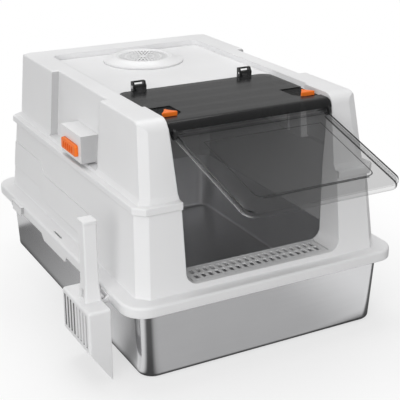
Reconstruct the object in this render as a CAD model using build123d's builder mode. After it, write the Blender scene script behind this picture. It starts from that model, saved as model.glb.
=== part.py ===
"""Covered litter box: a steel tray, an enclosure, a hood with a smoked lid and flap, and a hung scoop.

Millimetres, +Z up, and the entry faces -Y. The origin is the centre of the tray's underside, on the floor.
"""
import os
from math import cos, radians, sin

from build123d import *

os.makedirs("parts", exist_ok=True)

# Shared walls and clearances
plastic_wall = 3.0
running_gap = 0.3
pin_gap = 0.1
cut_overrun = 60.0

# Tray
tray_width = 405.0
tray_depth = 565.0
tray_height = 120.5
tray_flare = 5.0
tray_corner_radius = 24.0
tray_base_radius = 7.0
tray_wall = 1.5
tray_lip_width = 9.0
tray_lip_drop = 5.0

# Enclosure rim: a ledge on the tray's lip with a skirt around it
rim_side_gap = 9.5
rim_end_gap = 0.5
rim_corner_radius = 36.0
rim_edge_radius = 4.0
skirt_drop = 12.8
grip_tab_length = 112.0
grip_tab_drop = 10.0
grip_tab_slope = 12.0
grip_slot_length = 34.0
grip_slot_width = 3.0
grip_slot_inset = 9.0

# Enclosure walls
wall_inset_side = 1.0
wall_inset_end = 6.5
wall_rise = 128.5
wall_lean_side = 8.0
wall_lean_end = 17.5
wall_cut = 16.0
wall_foot_radius = 2.5
drip_lip_drop = 8.0

# Pressed panel on each side wall, with a step in its edges
panel_press = 1.1
panel_top_share = 0.65
panel_bottom_share = 0.29
panel_step_share = 0.145
panel_rear_share = 0.46
panel_front_share = 0.175
panel_step_rear_share = 0.23
panel_step_front_share = 0.18

# Entry and its slotted step
entry_width = 262.0
sill_rise = 8.5
entry_corner_radius = 18.0
tunnel_depth = 55.5
tunnel_floor = 6.0
step_width = 238.0
step_depth = 42.0
step_thickness = 2.4
step_ledge = 4.0
step_back_margin = 3.0
step_skirt = 1.6
step_skirt_drop = 5.0
step_slot_count = 19
step_slot_length = 13.4
step_slot_width = 7.4
step_slot_pitch = 11.6
step_slot_corner = 1.5
step_row_count = 2
step_row_pitch = 16.6

# Hood shell
hood_fit_gap = 2.6
flange_height = 11.0
flange_shoulder = 15.0
flange_cut = 15.0
flange_edge_radius = 2.0
flare_height = 7.0
flare_run = 5.0
hood_rise = 103.0
hood_lean_side = 8.0
hood_lean_front = 21.0
hood_lean_back = 4.0
hood_cut_side = 14.0
hood_cut_end = 6.0
hood_front_radius = 20.0
hood_edge_radius = 3.0
border_back = 43.5
border_corner_radius = 14.0
border_step_y = -160.0
panel_depth = 9.0
side_recess_length = 198.0
side_recess_depth = 12.0
side_recess_foot = 3.0

# Side button in its boss
boss_inset = 1.6
boss_length = 82.0
boss_height = 43.0
boss_centre_y = -29.0
boss_foot = 6.0
boss_edge_radius = 2.5
button_length = 58.0
button_height = 18.0
button_rise = 8.0
button_proud = 5.5
button_corner_radius = 4.0
button_flange = 2.5
button_flange_thickness = 2.0
button_plate_thickness = 2.0
button_plate_depth = 15.0
spring_thickness = 0.8
spring_width = 9.0
spring_span = 40.0

# Filter vent
vent_centre_y = 134.5
vent_radius = 69.0
vent_edge_height = 2.5
vent_edge_width = 3.0
vent_crown_height = 9.5
vent_crown_radius = 48.5
vent_crown_width = 4.0
vent_slope_radius = 40.0
vent_dish_drop = 2.2
vent_wall = 2.4
vent_skirt_drop = 5.0
vent_slot_width = 2.4
vent_slot_length = 10.0
vent_ring_counts = (14, 28, 42)
vent_ring_radius_shares = (0.28, 0.56, 0.84)
basket_radius = 56.0
basket_flange = 6.0
basket_depth = 24.0
basket_wall = 2.0
basket_hole_radius = 4.0
basket_hole_counts = (6, 12, 18)
basket_ring_radius_shares = (0.26, 0.52, 0.78)
filter_thickness = 16.0

# Lid
lid_side_gap = 6.6
lid_entry_gap = 2.0
lid_end_margin = 4.2
lid_wall = 3.0
lid_lap = 6.0
lid_rear_y = -54.0
lid_front_reach = 2.0
lid_roll_radius = 13.0
lid_corner_radius = 16.0
lid_rib_count = 3
lid_rib_width = 2.0
lid_rib_height = 1.6
lid_rib_pitch = 36.0

# Lid hinge
clip_spacing = 188.0
clip_width = 22.0
clip_ear = 3.0
clip_foot_thickness = 1.5
clip_axis_setback = 4.0
clip_axis_rise = 8.0
clip_rear_run = 6.0
clip_ear_radius = 4.0
clip_top_rise = 8.0
clip_bar = 2.5
hinge_pin_radius = 1.6
hinge_pin_head_radius = 2.6
hinge_pin_head = 1.0
knuckle_radius = 3.6

# Lid latches
latch_inset = 18.0
latch_centre_y = -190.0
latch_length = 28.0
latch_depth = 20.0
latch_height = 6.5
latch_flank_radius = 60.0
latch_corner_radius = 1.4
latch_crown_radius = 1.2
latch_travel = 3.0
latch_pocket_depth = 1.8
latch_pocket_length = 40.0
latch_pocket_back = 36.0
latch_pocket_front = 17.0
latch_pocket_cut = 16.0
latch_stem_length = 8.0
latch_stem_depth = 7.0
latch_tongue_depth = 16.0
latch_tongue_height = 3.5
latch_tongue_clear = 0.8

# Flap
flap_width = 250.0
flap_length = 197.0
flap_taper = 3.5
flap_droop_deg = 15.0
flap_wall = 2.4
flap_rim_depth = 9.0
flap_rim_wall = 2.2
flap_corner_radius = 20.0
flap_panel_inset = 28.0
flap_panel_groove = 1.4
flap_panel_groove_depth = 0.6
flap_hinge_reach = 3.5
flap_hinge_below = 17.3
flap_barrel_radius = 4.5
flap_trunnion_radius = 3.0
flap_trunnion_length = 4.5
cheek_thickness = 4.0
cheek_gap = 0.8
cheek_radius = 7.0
cheek_top_radius = 4.0

# Tray clips in the skirt
clip_notch_length = 42.0
clip_notch_height = 9.0
clip_centre_y = 168.0
clip_lug_length = 5.0
clip_lug_reach = 5.0
clip_lug_height = 11.0
clip_barrel_radius = 3.4
clip_trunnion_radius = 1.8
clip_trunnion_length = 4.0
clip_plate = 2.6
clip_tab_drop = 11.0
clip_finger_height = 3.0
clip_finger_lap = 4.0

# Scoop and its hanger
scoop_gap = 14.0
scoop_depth = 33.0
scoop_width = 100.0
scoop_centre_y = -214.0
scoop_top_z = 116.0
scoop_plate_length = 112.0
scoop_front_length = 63.0
scoop_wall = 2.5
scoop_edge_radius = 4.0
scoop_slot_count = 8
scoop_slot_width = 5.0
scoop_slot_pitch = 11.2
scoop_slot_length = 50.0
scoop_slot_foot = 6.0
handle_width = 20.0
handle_depth = 22.0
handle_length = 122.0
handle_setback = 11.5
handle_centre_y = -219.0
handle_edge_radius = 2.5
handle_foot_spread = 5.0
handle_foot_height = 30.0
handle_cap_spread = 1.5
handle_cap_height = 4.0
handle_hole_width = 9.0
handle_hole_height = 12.0
handle_hole_rise = 5.0
hanger_width = 26.0
hanger_height = 11.5
hanger_plate = 2.0
hanger_arm = 3.0
hanger_bar_radius = 2.0
hanger_bar_reach = 9.5
hanger_bar_rise = 2.3
hook_width = 12.0
hook_thickness = 2.5
hook_leg_drop = 7.0

# Levels, from the floor up
ledge_bottom = tray_height
ledge_top = ledge_bottom + plastic_wall
skirt_bottom = ledge_bottom - skirt_drop
sill_top = ledge_top + sill_rise
wall_top = ledge_top + wall_rise
flange_bottom = wall_top - flange_height + plastic_wall
flange_top = flange_bottom + flange_height
flare_top = flange_top + flare_height
hood_top = flare_top + hood_rise
panel_top = hood_top - panel_depth
panel_bottom = panel_top - plastic_wall
lid_bottom = panel_top + running_gap
lid_top = lid_bottom + lid_wall

# Outlines in plan, from the tray outwards and upwards
tray_top_width = tray_width + 2 * tray_flare
tray_top_depth = tray_depth + 2 * tray_flare
lip_width = tray_top_width + 2 * tray_lip_width
lip_depth = tray_top_depth + 2 * tray_lip_width
rim_width = lip_width + 2 * (rim_side_gap + plastic_wall)
rim_depth = lip_depth + 2 * (rim_end_gap + plastic_wall)
wall_width = tray_top_width - 2 * (tray_wall + wall_inset_side)
wall_depth = tray_top_depth - 2 * (tray_wall + wall_inset_end)
wall_top_width = wall_width - 2 * wall_lean_side
wall_top_depth = wall_depth - 2 * wall_lean_end
flange_width = wall_top_width + 2 * (hood_fit_gap + plastic_wall)
flange_depth = wall_top_depth + 2 * (hood_fit_gap + plastic_wall)
hood_width = flange_width - 2 * flange_shoulder
hood_depth = flange_depth - 2 * flange_shoulder
hood_top_width = hood_width - 2 * hood_lean_side
hood_top_depth = hood_depth - hood_lean_front - hood_lean_back
hood_top_shift = (hood_lean_front - hood_lean_back) / 2
hood_top_front = hood_top_shift - hood_top_depth / 2
hood_top_back = hood_top_shift + hood_top_depth / 2
lid_half = flap_width / 2 + cheek_gap + cheek_thickness + lid_end_margin
border_half = lid_half + lid_side_gap
entry_half = entry_width / 2
entry_top_half = lid_half + lid_entry_gap
opening_half = lid_half - lid_lap
tunnel_back = wall_depth / 2 - tunnel_depth

# Joint axes
lid_axis_y = lid_rear_y + clip_axis_setback
lid_axis_z = panel_top + clip_axis_rise
flap_axis_y = hood_top_front - flap_hinge_reach
flap_axis_z = lid_top - flap_hinge_below
lid_front_y = hood_top_front - lid_front_reach


def rounded_outline(width, depth, corner, height):
    """Return a rectangle with round corners, lying level at a height."""
    with BuildSketch(Plane.XY.offset(height)) as outline:
        RectangleRounded(width, depth, corner)
    return outline.sketch


def cut_outline(width, depth, cut_side, cut_end, height, shift=0.0):
    """Return a rectangle with its corners cut off by two lengths, lying level at a height."""
    half_width = width / 2
    half_depth = depth / 2
    with BuildSketch(Plane.XY.offset(height)) as outline:
        with BuildLine():
            Polyline(
                (half_width - cut_side, shift + half_depth),
                (half_width, shift + half_depth - cut_end),
                (half_width, shift - half_depth + cut_end),
                (half_width - cut_side, shift - half_depth),
                (cut_side - half_width, shift - half_depth),
                (-half_width, shift - half_depth + cut_end),
                (-half_width, shift + half_depth - cut_end),
                (cut_side - half_width, shift + half_depth),
                close=True,
            )
        make_face()
    return outline.sketch


def leaning_block(lower, upper):
    """Return the solid between a lower and an upper outline."""
    with BuildPart() as block:
        loft(sections=[lower, upper])
    return block.part


def finish_part(part, name):
    """Name a finished piece and write it to its own file."""
    part.label = name
    export_step(part, f"parts/{name}.step")


def side_name(side):
    """Return the word for a side: -1 is left, 1 is right."""
    return "left" if side < 0 else "right"


# Tray: a flared pan with a turned-down lip
def flared_pan(inset):
    """Return the pan's solid form, smaller all round by an inset."""
    with BuildPart() as pan:
        corner = tray_corner_radius - inset
        foot = rounded_outline(tray_width - 2 * inset, tray_depth - 2 * inset, corner, inset)
        mouth = rounded_outline(tray_top_width - 2 * inset, tray_top_depth - 2 * inset, corner, tray_height)
        loft(sections=[foot, mouth])
        fillet(pan.edges().group_by(Axis.Z)[0], tray_base_radius - inset)
    return pan.part


with BuildPart() as tray:
    add(flared_pan(0))
    add(flared_pan(tray_wall), mode=Mode.SUBTRACT)
    with BuildSketch(Plane.XY.offset(tray_height - tray_wall)):
        RectangleRounded(lip_width, lip_depth, tray_corner_radius + tray_lip_width)
        RectangleRounded(
            tray_top_width - 2 * tray_wall,
            tray_top_depth - 2 * tray_wall,
            tray_corner_radius - tray_wall,
            mode=Mode.SUBTRACT,
        )
    extrude(amount=tray_wall)
    with BuildSketch(Plane.XY.offset(tray_height - tray_lip_drop)):
        RectangleRounded(lip_width, lip_depth, tray_corner_radius + tray_lip_width)
        RectangleRounded(
            lip_width - 2 * tray_wall,
            lip_depth - 2 * tray_wall,
            tray_corner_radius + tray_lip_width - tray_wall,
            mode=Mode.SUBTRACT,
        )
    extrude(amount=tray_lip_drop)
finish_part(tray.part, "tray")

# Outer and inner forms of the enclosure's walls
def wall_form(growth, wall):
    """Return the walls' leaning form, wider by a growth at the sides and thinner by a wall all round."""
    wide = 2 * (growth - wall)
    return leaning_block(
        cut_outline(wall_width + wide, wall_depth - 2 * wall, wall_cut, wall_cut, ledge_top),
        cut_outline(wall_top_width + wide, wall_top_depth - 2 * wall, wall_cut, wall_cut, wall_top),
    )


wall_outer = wall_form(0, 0)
wall_inner = wall_form(0, plastic_wall)

# Entry reveal: a channel from the front wall back to the tunnel's end
with BuildPart() as entry_reveal:
    with BuildSketch(Plane.XZ.offset(tunnel_back)) as reveal_profile:
        with Locations((0, sill_top - tunnel_floor)):
            Rectangle(
                entry_width + 2 * plastic_wall,
                wall_rise,
                align=(Align.CENTER, Align.MIN),
            )
        fillet(reveal_profile.vertices().group_by(Axis.Y)[0], entry_corner_radius)
        with BuildSketch(mode=Mode.SUBTRACT) as reveal_clear:
            with Locations((0, sill_top)):
                Rectangle(entry_width, wall_rise, align=(Align.CENTER, Align.MIN))
            fillet(reveal_clear.vertices().group_by(Axis.Y)[0], entry_corner_radius)
    extrude(amount=tunnel_depth + cut_overrun)
    add(wall_outer, mode=Mode.INTERSECT)

# Pressed side panels, trimmed to a form a little larger than the walls
panel_rear_y = wall_depth * panel_rear_share
panel_front_y = -wall_depth * panel_front_share
panel_step_rear_y = wall_depth * panel_step_rear_share
panel_step_front_y = wall_depth * panel_step_front_share
panel_high_z = ledge_top + wall_rise * panel_top_share
panel_low_z = ledge_top + wall_rise * panel_bottom_share
panel_step = wall_rise * panel_step_share
with BuildPart() as side_panels:
    with BuildSketch(Plane.YZ):
        with BuildLine():
            Polyline(
                (panel_rear_y, panel_high_z),
                (panel_step_rear_y, panel_high_z),
                (panel_step_front_y, panel_high_z - panel_step),
                (panel_front_y, panel_high_z - panel_step),
                (panel_front_y, panel_low_z - panel_step),
                (panel_step_front_y, panel_low_z - panel_step),
                (panel_step_rear_y, panel_low_z),
                (panel_rear_y, panel_low_z),
                close=True,
            )
        make_face()
    extrude(amount=rim_width, both=True)
    add(wall_form(panel_press, 0), mode=Mode.INTERSECT)

# Where the tray clips hinge
clip_axis_x = rim_width / 2 + plastic_wall / 2
clip_axis_z = skirt_bottom + clip_notch_height
clip_places = [(side, end) for side in (-1, 1) for end in (-1, 1)]

# Enclosure: rim, walls, reveal and lugs
with BuildPart() as enclosure:
    with BuildSketch(Plane.XY.offset(skirt_bottom)):
        RectangleRounded(rim_width, rim_depth, rim_corner_radius)
    extrude(amount=ledge_top - skirt_bottom)
    fillet(enclosure.edges().group_by(Axis.Z)[-1], rim_edge_radius)
    with BuildSketch(Plane.XY.offset(skirt_bottom)):
        RectangleRounded(
            rim_width - 2 * plastic_wall, rim_depth - 2 * plastic_wall, rim_corner_radius - plastic_wall
        )
    extrude(amount=ledge_bottom - skirt_bottom, mode=Mode.SUBTRACT)
    add(wall_outer)
    wall_foot = enclosure.edges().filter_by_position(Axis.Z, ledge_top, ledge_top)
    wall_foot = wall_foot.filter_by_position(Axis.X, -wall_width / 2, wall_width / 2)
    wall_foot = wall_foot.filter_by_position(Axis.Y, -wall_depth / 2, wall_depth / 2)
    fillet(wall_foot, wall_foot_radius)
    add(side_panels.part)
    with BuildSketch(Plane.XY.offset(ledge_bottom - drip_lip_drop)):
        add(cut_outline(wall_width, wall_depth, wall_cut, wall_cut, 0))
    extrude(amount=drip_lip_drop + plastic_wall)
    add(wall_inner, mode=Mode.SUBTRACT)
    with BuildSketch(Plane.XY.offset(ledge_bottom - drip_lip_drop)):
        inner_width = wall_width - 2 * plastic_wall
        inner_depth = wall_depth - 2 * plastic_wall
        add(cut_outline(inner_width, inner_depth, wall_cut, wall_cut, 0))
    extrude(amount=drip_lip_drop + plastic_wall, mode=Mode.SUBTRACT)
    with BuildSketch(Plane.XZ.offset(tunnel_back)) as entry_cut:
        with Locations((0, sill_top)):
            Rectangle(entry_width, wall_rise, align=(Align.CENTER, Align.MIN))
        fillet(entry_cut.vertices().group_by(Axis.Y)[0], entry_corner_radius)
    extrude(amount=tunnel_depth + cut_overrun, mode=Mode.SUBTRACT)
    add(entry_reveal.part)
    step_centre_y = -(tunnel_back + step_back_margin + step_depth / 2)
    with BuildSketch(Plane.XY.offset(sill_top - step_thickness)):
        with Locations((0, step_centre_y)):
            Rectangle(step_width + 2 * running_gap, step_depth + 2 * running_gap)
    extrude(amount=step_thickness + running_gap, mode=Mode.SUBTRACT)
    with BuildSketch(Plane.XY.offset(sill_top)):
        with Locations((0, step_centre_y)):
            Rectangle(step_width - 2 * step_ledge, step_depth - 2 * step_ledge)
    extrude(amount=-tunnel_floor - running_gap, mode=Mode.SUBTRACT)
    for side in (-1, 1):
        with BuildSketch(Plane.YZ.offset(side * rim_width / 2)):
            with BuildLine():
                Polyline(
                    (-grip_tab_length / 2, skirt_bottom),
                    (-grip_tab_length / 2 + grip_tab_slope / 2, skirt_bottom - grip_tab_drop),
                    (grip_tab_length / 2 - grip_tab_slope, skirt_bottom - grip_tab_drop),
                    (grip_tab_length / 2, skirt_bottom),
                    (grip_tab_length / 2, skirt_bottom + plastic_wall),
                    (-grip_tab_length / 2, skirt_bottom + plastic_wall),
                    close=True,
                )
            make_face()
        extrude(amount=-side * plastic_wall)
        with BuildSketch(Plane.XY.offset(ledge_top)):
            with Locations((side * (rim_width / 2 - grip_slot_inset), 0)):
                SlotOverall(grip_slot_length, grip_slot_width, rotation=90)
        extrude(amount=-plastic_wall, mode=Mode.SUBTRACT)
    for side, end in clip_places:
        with BuildSketch(Plane.XZ.offset(-end * clip_centre_y)):
            with Locations((side * (rim_width / 2 - plastic_wall), clip_axis_z - clip_lug_height / 2)):
                Rectangle(
                    plastic_wall + clip_lug_reach,
                    clip_lug_height,
                    align=(Align.MIN if side > 0 else Align.MAX, Align.MIN),
                )
        extrude(amount=clip_notch_length / 2 + clip_lug_length, both=True)
        with BuildSketch(Plane.XZ.offset(-end * clip_centre_y)):
            with Locations((side * (rim_width / 2 - plastic_wall), skirt_bottom)):
                Rectangle(
                    cut_overrun,
                    clip_notch_height + clip_barrel_radius + running_gap,
                    align=(Align.MIN if side > 0 else Align.MAX, Align.MIN),
                )
        extrude(amount=clip_notch_length / 2, both=True, mode=Mode.SUBTRACT)
        with BuildSketch(Plane.XZ.offset(-end * clip_centre_y)):
            with Locations((side * clip_axis_x, clip_axis_z)):
                Circle(clip_trunnion_radius + pin_gap)
        trunnion_reach = clip_notch_length / 2 + clip_trunnion_length + running_gap
        extrude(amount=trunnion_reach, both=True, mode=Mode.SUBTRACT)
finish_part(enclosure.part, "enclosure")

# Entry step: a plate with two rows of slots and a skirt that drops into the sill's window
with BuildPart() as entry_step:
    with BuildSketch(Plane.XY.offset(sill_top - step_thickness)):
        with Locations((0, step_centre_y)):
            Rectangle(step_width, step_depth)
    extrude(amount=step_thickness)
    window_width = step_width - 2 * (step_ledge + running_gap)
    window_depth = step_depth - 2 * (step_ledge + running_gap)
    with BuildSketch(Plane.XY.offset(sill_top - step_thickness)):
        with Locations((0, step_centre_y)):
            Rectangle(window_width, window_depth)
            Rectangle(window_width - 2 * step_skirt, window_depth - 2 * step_skirt, mode=Mode.SUBTRACT)
    extrude(amount=-step_skirt_drop)
    with BuildSketch(Plane.XY.offset(sill_top)):
        with Locations((0, step_centre_y)):
            with GridLocations(step_slot_pitch, step_row_pitch, step_slot_count, step_row_count):
                RectangleRounded(step_slot_width, step_slot_length, step_slot_corner)
    extrude(amount=-step_thickness, mode=Mode.SUBTRACT)
finish_part(entry_step.part, "entry_step")

# Hood: its solid outer form first
with BuildPart() as hood_form:
    with BuildSketch(Plane.XY.offset(flange_bottom)):
        add(cut_outline(flange_width, flange_depth, flange_cut, flange_cut, 0))
    extrude(amount=flange_height)
    fillet(hood_form.edges().group_by(Axis.Z)[-1], flange_edge_radius)
    flare_width = hood_width + 2 * flare_run
    flare_depth = hood_depth + 2 * flare_run
    flare_low = cut_outline(flare_width, flare_depth, hood_cut_side, hood_cut_end, flange_top)
    hood_low = cut_outline(hood_width, hood_depth, hood_cut_side, hood_cut_end, flare_top)
    hood_high = cut_outline(
        hood_top_width, hood_top_depth, hood_cut_side, hood_cut_end, hood_top, hood_top_shift
    )
    loft(sections=[flare_low, hood_low])
    loft(sections=[hood_low, hood_high])
    for side in (-1, 1):
        recess_foot_x = side * (hood_width / 2 - side_recess_depth)
        recess_head_x = side * (hood_top_width / 2 - side_recess_depth)
        with BuildSketch(Plane.XZ):
            with BuildLine():
                Polyline(
                    (recess_foot_x, flange_top + side_recess_foot),
                    (recess_foot_x, flare_top),
                    (recess_head_x, hood_top),
                    (side * flange_width / 2, hood_top),
                    (side * flange_width / 2, flange_top + side_recess_foot),
                    close=True,
                )
            make_face()
        extrude(amount=side_recess_length / 2, both=True, mode=Mode.SUBTRACT)
    front_edge = hood_form.edges().filter_by(Axis.X).group_by(Axis.Z)[-1].sort_by(Axis.Y)[0]
    fillet(front_edge, hood_front_radius)

# The tub sunk into the hood's top, and the reveal plates beside its open front
tub_back = hood_top_back - border_back
tub_front = hood_top_front - cut_overrun


def tub_outline(height, growth):
    """Return the outline of the sunk top, grown by a wall, at a height."""
    with BuildSketch(Plane.XY.offset(height)) as outline:
        with Locations((0, border_step_y - growth)):
            Rectangle(
                2 * (border_half + growth),
                tub_back - border_step_y + 2 * growth,
                align=(Align.CENTER, Align.MIN),
            )
        fillet(outline.vertices().group_by(Axis.Y)[-1], border_corner_radius + growth)
        with Locations((0, border_step_y)):
            Rectangle(
                2 * (entry_top_half + growth), border_step_y - tub_front, align=(Align.CENTER, Align.MAX)
            )
    return outline.sketch


with BuildPart() as hood_fittings:
    add(tub_outline(panel_bottom, plastic_wall))
    extrude(amount=panel_depth + plastic_wall)
    for side in (-1, 1):
        with BuildSketch(Plane.XZ.offset(tunnel_back)):
            with BuildLine():
                Polyline(
                    (side * entry_half, wall_top),
                    (side * entry_top_half, hood_top),
                    (side * (entry_top_half + plastic_wall), hood_top),
                    (side * (entry_half + plastic_wall), wall_top),
                    close=True,
                )
            make_face()
        extrude(amount=tunnel_depth)
    add(hood_form.part, mode=Mode.INTERSECT)

# Hood: the form made hollow, with the tub, the open front, the bosses and the vent hole
boss_face_x = flange_width / 2 - boss_inset
boss_root_x = hood_top_width / 2 - side_recess_depth
boss_low_z = flange_top + boss_foot
button_centre_z = boss_low_z + button_rise + button_height / 2
front_cut_y = hood_top_front + hood_front_radius
with BuildPart() as hood:
    add(hood_form.part)
    offset(amount=-plastic_wall, openings=hood.faces().sort_by(Axis.Z)[0])
    crown_edges = hood.faces().sort_by(Axis.Z)[-1].edges().sort_by(Axis.Y)[1:]
    fillet(crown_edges, hood_edge_radius)
    with BuildSketch(Plane.XZ.offset(-front_cut_y)):
        with BuildLine():
            Polyline(
                (-entry_half, flange_bottom),
                (entry_half, flange_bottom),
                (entry_half, wall_top),
                (entry_top_half, hood_top),
                (-entry_top_half, hood_top),
                (-entry_half, wall_top),
                close=True,
            )
        make_face()
    extrude(amount=hood_depth, mode=Mode.SUBTRACT)
    add(hood_fittings.part)
    add(tub_outline(panel_top, 0))
    extrude(amount=panel_depth + cut_overrun, mode=Mode.SUBTRACT)
    with BuildSketch(Plane.XY.offset(panel_bottom)):
        with Locations((0, lid_rear_y - lid_lap)):
            Rectangle(2 * opening_half, hood_depth, align=(Align.CENTER, Align.MAX))
        with Locations((0, front_cut_y)):
            Rectangle(2 * entry_top_half, hood_depth, align=(Align.CENTER, Align.MAX))
        with Locations((0, vent_centre_y)):
            Circle(basket_radius + running_gap)
    extrude(amount=plastic_wall, mode=Mode.SUBTRACT)
    for side in (-1, 1):
        with BuildSketch(Plane.YZ.offset(side * boss_face_x)):
            with Locations((boss_centre_y, boss_low_z)):
                Rectangle(boss_length, boss_height, align=(Align.CENTER, Align.MIN))
        extrude(amount=-side * (boss_face_x - boss_root_x))
        boss_rim = hood.faces().filter_by(Axis.X).sort_by(Axis.X)[0 if side < 0 else -1].edges()
        fillet(boss_rim, boss_edge_radius)
        with BuildSketch(Plane.YZ.offset(side * (boss_face_x - plastic_wall))):
            with Locations((boss_centre_y, boss_low_z + plastic_wall)):
                Rectangle(
                    boss_length - 2 * plastic_wall,
                    boss_height - 2 * plastic_wall,
                    align=(Align.CENTER, Align.MIN),
                )
        extrude(amount=-side * (boss_face_x - boss_root_x), mode=Mode.SUBTRACT)
        with BuildSketch(Plane.YZ.offset(side * boss_face_x)):
            with Locations((boss_centre_y, button_centre_z)):
                RectangleRounded(
                    button_length + 2 * running_gap,
                    button_height + 2 * running_gap,
                    button_corner_radius + running_gap,
                )
        extrude(amount=-side * plastic_wall, mode=Mode.SUBTRACT)
finish_part(hood.part, "hood")


def hood_button(side):
    """Make one push button with the flange that keeps it in its boss."""
    with BuildPart() as button:
        with BuildSketch(Plane.YZ.offset(side * (boss_face_x + button_proud))):
            with Locations((boss_centre_y, button_centre_z)):
                RectangleRounded(button_length, button_height, button_corner_radius)
        extrude(amount=-side * (button_proud + plastic_wall + running_gap))
        outer_face = button.faces().filter_by(Axis.X).sort_by(Axis.X)[0 if side < 0 else -1]
        fillet(outer_face.edges(), button_corner_radius / 2)
        with BuildSketch(Plane.YZ.offset(side * (boss_face_x - plastic_wall - running_gap))):
            with Locations((boss_centre_y, button_centre_z)):
                RectangleRounded(
                    button_length + 2 * button_flange,
                    button_height + 2 * button_flange,
                    button_corner_radius + button_flange,
                )
        extrude(amount=-side * button_flange_thickness)
    finish_part(button.part, f"hood_button_{side_name(side)}")


def button_plate(side):
    """Make the plate that closes a boss and backs the button's spring."""
    plate_x = side * (boss_face_x - plastic_wall - button_plate_depth)
    with BuildPart() as plate:
        with BuildSketch(Plane.YZ.offset(plate_x)):
            with Locations((boss_centre_y, boss_low_z + boss_height / 2)):
                Rectangle(
                    boss_length - 2 * (plastic_wall + running_gap),
                    boss_height - 2 * (plastic_wall + running_gap),
                )
        extrude(amount=-side * button_plate_thickness)
    finish_part(plate.part, f"button_plate_{side_name(side)}")


def button_spring(side):
    """Make the bowed leaf spring between a button and its plate."""
    foot_x = side * (boss_face_x - plastic_wall - button_plate_depth + running_gap)
    crown_x = side * (boss_face_x - plastic_wall - button_flange_thickness - 2 * running_gap)
    outer_half = spring_span / 2
    inner_half = outer_half - 2 * spring_thickness
    with BuildPart() as spring:
        with BuildSketch(Plane.XY.offset(button_centre_z - spring_width / 2)):
            with BuildLine():
                outer_rear = (foot_x, boss_centre_y + outer_half)
                outer_front = (foot_x, boss_centre_y - outer_half)
                inner_rear = (foot_x, boss_centre_y + inner_half)
                inner_front = (foot_x, boss_centre_y - inner_half)
                ThreePointArc(outer_rear, (crown_x, boss_centre_y), outer_front)
                Line(outer_front, inner_front)
                ThreePointArc(inner_front, (crown_x - side * spring_thickness, boss_centre_y), inner_rear)
                Line(inner_rear, outer_rear)
            make_face()
        extrude(amount=spring_width)
    finish_part(spring.part, f"button_spring_{side_name(side)}")


for hand in (-1, 1):
    hood_button(hand)
    button_plate(hand)
    button_spring(hand)

# Filter basket: a flanged cup with a pierced floor, hung in the hood's round hole
with BuildPart() as filter_basket:
    with Locations((0, vent_centre_y, panel_top)):
        Cylinder(
            basket_radius + basket_flange, basket_wall, align=(Align.CENTER, Align.CENTER, Align.MIN)
        )
        Cylinder(basket_radius, basket_depth, align=(Align.CENTER, Align.CENTER, Align.MAX))
    with Locations((0, vent_centre_y, panel_top + basket_wall)):
        Cylinder(
            basket_radius - basket_wall,
            basket_depth,
            align=(Align.CENTER, Align.CENTER, Align.MAX),
            mode=Mode.SUBTRACT,
        )
    with BuildSketch(Plane.XY.offset(panel_top - basket_depth)):
        with Locations((0, vent_centre_y)):
            for share, count in zip(basket_ring_radius_shares, basket_hole_counts):
                with PolarLocations(basket_radius * share, count):
                    Circle(basket_hole_radius)
    extrude(amount=basket_wall, mode=Mode.SUBTRACT)
finish_part(filter_basket.part, "filter_basket")

# Carbon filter: the pad lying in the basket
with BuildPart() as carbon_filter:
    with Locations((0, vent_centre_y, panel_top - basket_depth + basket_wall)):
        Cylinder(
            basket_radius - basket_wall - running_gap,
            filter_thickness,
            align=(Align.CENTER, Align.CENTER, Align.MIN),
        )
finish_part(carbon_filter.part, "carbon_filter")

# Vent cover: a turned ring that sweeps up to a crown round a slotted dish
vent_seat_z = panel_top + running_gap
vent_crown_z = vent_seat_z + vent_crown_height
vent_dish_z = vent_crown_z - vent_dish_drop
vent_ring_z = panel_top + basket_wall + running_gap
vent_skirt_radius = basket_radius - basket_wall - running_gap
vent_dish_radius = vent_crown_radius - vent_crown_width
vent_ring_inner = basket_radius + basket_flange + running_gap
with BuildPart() as vent_cover:
    vent_plane = Plane(origin=(0, vent_centre_y, 0), x_dir=(1, 0, 0), z_dir=(0, -1, 0))
    with BuildSketch(vent_plane):
        with BuildLine():
            slope_foot = (vent_radius - vent_edge_width, vent_seat_z + vent_edge_height)
            slope_head = (vent_crown_radius + vent_crown_width / 2, vent_crown_z)
            Polyline(
                slope_head,
                (vent_crown_radius - vent_crown_width / 2, vent_crown_z),
                (vent_dish_radius, vent_dish_z),
                (0, vent_dish_z),
                (0, vent_dish_z - vent_wall),
                (vent_skirt_radius - vent_wall, vent_dish_z - vent_wall),
                (vent_skirt_radius - vent_wall, vent_seat_z - vent_skirt_drop),
                (vent_skirt_radius, vent_seat_z - vent_skirt_drop),
                (vent_skirt_radius, vent_ring_z),
                (vent_ring_inner, vent_ring_z),
                (vent_ring_inner, vent_seat_z),
                (vent_radius, vent_seat_z),
                (vent_radius, vent_seat_z + vent_edge_height),
                slope_foot,
            )
            RadiusArc(slope_foot, slope_head, vent_slope_radius)
        make_face()
    revolve(axis=Axis((0, vent_centre_y, 0), (0, 0, 1)))
    with BuildSketch(Plane.XY.offset(vent_dish_z)):
        with Locations((0, vent_centre_y)):
            for share, count in zip(vent_ring_radius_shares, vent_ring_counts):
                with PolarLocations(vent_dish_radius * share, count):
                    Rectangle(vent_slot_length, vent_slot_width)
    extrude(amount=-vent_wall, mode=Mode.SUBTRACT)
finish_part(vent_cover.part, "vent_cover")

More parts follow.
